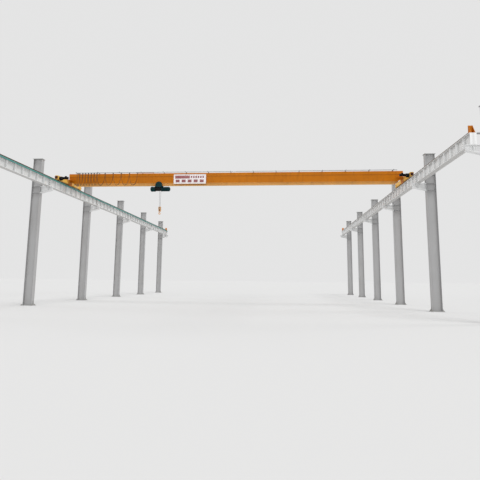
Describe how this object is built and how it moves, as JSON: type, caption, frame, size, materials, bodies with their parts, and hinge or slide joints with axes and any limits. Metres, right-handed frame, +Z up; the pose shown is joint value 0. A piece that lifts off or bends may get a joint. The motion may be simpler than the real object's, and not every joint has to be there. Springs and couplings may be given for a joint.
{
  "type": "overhead bridge crane",
  "caption": "Single-girder overhead bridge crane with an underslung wire-rope hoist and a cable festoon, on plate-girder runway beams carried by steel columns.",
  "frame": {"origin": "on the floor, midway between the two rails and midway along the runway", "axes": "+X across the hall to the right rail, +Y along the runway away from the viewer, +Z up"},
  "size_m": [24.75, 37.96, 9.12],
  "materials": {
    "white_steel": "satin off-white paint",
    "grey_steel": "grey primer paint",
    "rail_steel": "worn rolled steel",
    "yellow_paint": "gloss orange-yellow paint",
    "black_paint": "satin black paint",
    "green_paint": "gloss blue-green paint",
    "buffer_rubber": "dark brown rubber",
    "galvanised": "zinc-plated steel",
    "conductor_housing": "teal plastic",
    "cable_black": "matt flat cable sheath",
    "sign_white": "white enamel",
    "hook_steel": "orange paint on forged steel",
    "rope_steel": "greased wire rope",
    "trolley_black": "black moulded plastic"
  },
  "bodies": {
    "runway": {"columns": "white_steel", "base_plates": "grey_steel", "cap_plates": "grey_steel", "corbels": "white_steel", "tie_plates": "grey_steel", "left_runway_beams": "white_steel", "right_runway_beams": "white_steel", "left_rail": "rail_steel", "right_rail": "rail_steel", "end_stops": "yellow_paint", "conductor_rail": "conductor_housing", "conductor_brackets": "galvanised"},
    "bridge": {"girder_top_plate": "yellow_paint", "girder_side_plates": "yellow_paint", "girder_track_beam": "yellow_paint", "girder_haunch_plates": "yellow_paint", "girder_end_plates": "yellow_paint", "knee_plates": "yellow_paint", "left_end_carriage": "yellow_paint", "right_end_carriage": "yellow_paint", "left_drive": "black_paint", "right_drive": "black_paint", "bridge_buffers": "buffer_rubber", "festoon_arms": "galvanised", "festoon_track": "galvanised", "festoon_cable": "cable_black", "sign_board": "sign_white", "current_collector": "galvanised"},
    "left_front_wheel": {"left_front_wheel": "rail_steel"},
    "left_rear_wheel": {"left_rear_wheel": "rail_steel"},
    "right_front_wheel": {"right_front_wheel": "rail_steel"},
    "right_rear_wheel": {"right_rear_wheel": "rail_steel"},
    "hoist": {"trolley_frame": "green_paint", "trolley_wheels": "rail_steel", "travel_gearbox": "green_paint", "travel_motor": "green_paint", "tow_arm": "yellow_paint", "hoist_housing": "green_paint", "hoist_motor": "green_paint", "hoist_gearbox": "green_paint", "hoist_ropes": "rope_steel"},
    "drum": {"hoist_drum": "black_paint"},
    "hook_block": {"hook_block": "yellow_paint"},
    "sheave": {"hook_sheave": "rail_steel"},
    "hook": {"hook": "hook_steel"},
    "cable_trolley_1": {"cable_trolley_1": "trolley_black"},
    "cable_trolley_2": {"cable_trolley_2": "trolley_black"},
    "cable_trolley_3": {"cable_trolley_3": "trolley_black"},
    "cable_trolley_4": {"cable_trolley_4": "trolley_black"},
    "cable_trolley_5": {"cable_trolley_5": "trolley_black"},
    "cable_trolley_6": {"cable_trolley_6": "trolley_black"},
    "cable_trolley_7": {"cable_trolley_7": "trolley_black"},
    "cable_trolley_8": {"cable_trolley_8": "trolley_black"},
    "cable_trolley_9": {"cable_trolley_9": "trolley_black"},
    "cable_trolley_10": {"cable_trolley_10": "trolley_black"},
    "cable_trolley_11": {"cable_trolley_11": "trolley_black"},
    "cable_trolley_12": {"cable_trolley_12": "trolley_black"}
  },
  "joints": [
    {"name": "bridge_travel", "type": "slide", "parent": "runway", "child": "bridge", "axis": [0, 1, 0], "range_m": [-8.2, 25.4]},
    {"name": "hoist_travel", "type": "slide", "parent": "bridge", "child": "hoist", "axis": [1, 0, 0], "range_m": [-1.05, 14.3], "deforming": ["festoon_cable"]},
    {"name": "hook_lift", "type": "slide", "parent": "hoist", "child": "hook_block", "axis": [0, 0, 1], "range_m": [-5.7, 0.8], "deforming": ["hoist_ropes"]},
    {"name": "hook_swivel", "type": "hinge", "parent": "hook_block", "child": "hook", "pos_m": [-4.8, -8.6, 6.175], "axis": [0, 0, 1], "continuous": true},
    {"name": "left_front_wheel_turn", "type": "hinge", "parent": "bridge", "child": "left_front_wheel", "pos_m": [-11.25, -10.1, 8.125], "axis": [1, 0, 0], "continuous": true},
    {"name": "left_rear_wheel_turn", "type": "hinge", "parent": "bridge", "child": "left_rear_wheel", "pos_m": [-11.25, -7.1, 8.125], "axis": [1, 0, 0], "continuous": true},
    {"name": "right_front_wheel_turn", "type": "hinge", "parent": "bridge", "child": "right_front_wheel", "pos_m": [11.25, -10.1, 8.125], "axis": [1, 0, 0], "continuous": true},
    {"name": "right_rear_wheel_turn", "type": "hinge", "parent": "bridge", "child": "right_rear_wheel", "pos_m": [11.25, -7.1, 8.125], "axis": [1, 0, 0], "continuous": true},
    {"name": "drum_turn", "type": "hinge", "parent": "hoist", "child": "drum", "pos_m": [-4.98, -8.6, 7.68], "axis": [1, 0, 0], "continuous": true},
    {"name": "sheave_turn", "type": "hinge", "parent": "hook_block", "child": "sheave", "pos_m": [-4.8, -8.6, 6.35], "axis": [1, 0, 0], "continuous": true},
    {"name": "cable_trolley_1_slide", "type": "slide", "parent": "bridge", "child": "cable_trolley_1", "axis": [1, 0, 0], "range_m": [-0.0995, 1.3427]},
    {"name": "cable_trolley_2_slide", "type": "slide", "parent": "cable_trolley_1", "child": "cable_trolley_2", "axis": [1, 0, 0], "range_m": [-0.0995, 1.3427]},
    {"name": "cable_trolley_3_slide", "type": "slide", "parent": "cable_trolley_2", "child": "cable_trolley_3", "axis": [1, 0, 0], "range_m": [-0.0995, 1.3427]},
    {"name": "cable_trolley_4_slide", "type": "slide", "parent": "cable_trolley_3", "child": "cable_trolley_4", "axis": [1, 0, 0], "range_m": [-0.0995, 1.3427]},
    {"name": "cable_trolley_5_slide", "type": "slide", "parent": "cable_trolley_4", "child": "cable_trolley_5", "axis": [1, 0, 0], "range_m": [-0.0995, 1.3427]},
    {"name": "cable_trolley_6_slide", "type": "slide", "parent": "cable_trolley_5", "child": "cable_trolley_6", "axis": [1, 0, 0], "range_m": [-0.0995, 1.3427]},
    {"name": "cable_trolley_7_slide", "type": "slide", "parent": "cable_trolley_6", "child": "cable_trolley_7", "axis": [1, 0, 0], "range_m": [-0.0995, 1.3427]},
    {"name": "cable_trolley_8_slide", "type": "slide", "parent": "cable_trolley_7", "child": "cable_trolley_8", "axis": [1, 0, 0], "range_m": [-0.0731, 0.9827]},
    {"name": "cable_trolley_9_slide", "type": "slide", "parent": "cable_trolley_8", "child": "cable_trolley_9", "axis": [1, 0, 0], "range_m": [-0.0731, 0.9827]},
    {"name": "cable_trolley_10_slide", "type": "slide", "parent": "cable_trolley_9", "child": "cable_trolley_10", "axis": [1, 0, 0], "range_m": [-0.0731, 0.9827]},
    {"name": "cable_trolley_11_slide", "type": "slide", "parent": "cable_trolley_10", "child": "cable_trolley_11", "axis": [1, 0, 0], "range_m": [-0.0731, 0.9827]},
    {"name": "cable_trolley_12_slide", "type": "slide", "parent": "cable_trolley_11", "child": "cable_trolley_12", "axis": [1, 0, 0], "range_m": [-0.0731, 0.9827]}
  ],
  "couplings": [
    {"joint": "left_front_wheel_turn", "follows": "bridge_travel", "rad_per_m": -8},
    {"joint": "left_rear_wheel_turn", "follows": "bridge_travel", "rad_per_m": -8},
    {"joint": "right_front_wheel_turn", "follows": "bridge_travel", "rad_per_m": -8},
    {"joint": "right_rear_wheel_turn", "follows": "bridge_travel", "rad_per_m": -8},
    {"joint": "drum_turn", "follows": "hook_lift", "rad_per_m": -16.026},
    {"joint": "sheave_turn", "follows": "hook_lift", "rad_per_m": -8.0128},
    {"joint": "cable_trolley_1_slide", "follows": "hoist_travel", "ratio": 0.093823},
    {"joint": "cable_trolley_2_slide", "follows": "hoist_travel", "ratio": 0.093823},
    {"joint": "cable_trolley_3_slide", "follows": "hoist_travel", "ratio": 0.093823},
    {"joint": "cable_trolley_4_slide", "follows": "hoist_travel", "ratio": 0.093823},
    {"joint": "cable_trolley_5_slide", "follows": "hoist_travel", "ratio": 0.093823},
    {"joint": "cable_trolley_6_slide", "follows": "hoist_travel", "ratio": 0.093823},
    {"joint": "cable_trolley_7_slide", "follows": "hoist_travel", "ratio": 0.093823},
    {"joint": "cable_trolley_8_slide", "follows": "hoist_travel", "ratio": 0.068648},
    {"joint": "cable_trolley_9_slide", "follows": "hoist_travel", "ratio": 0.068648},
    {"joint": "cable_trolley_10_slide", "follows": "hoist_travel", "ratio": 0.068648},
    {"joint": "cable_trolley_11_slide", "follows": "hoist_travel", "ratio": 0.068648},
    {"joint": "cable_trolley_12_slide", "follows": "hoist_travel", "ratio": 0.068647}
  ]
}
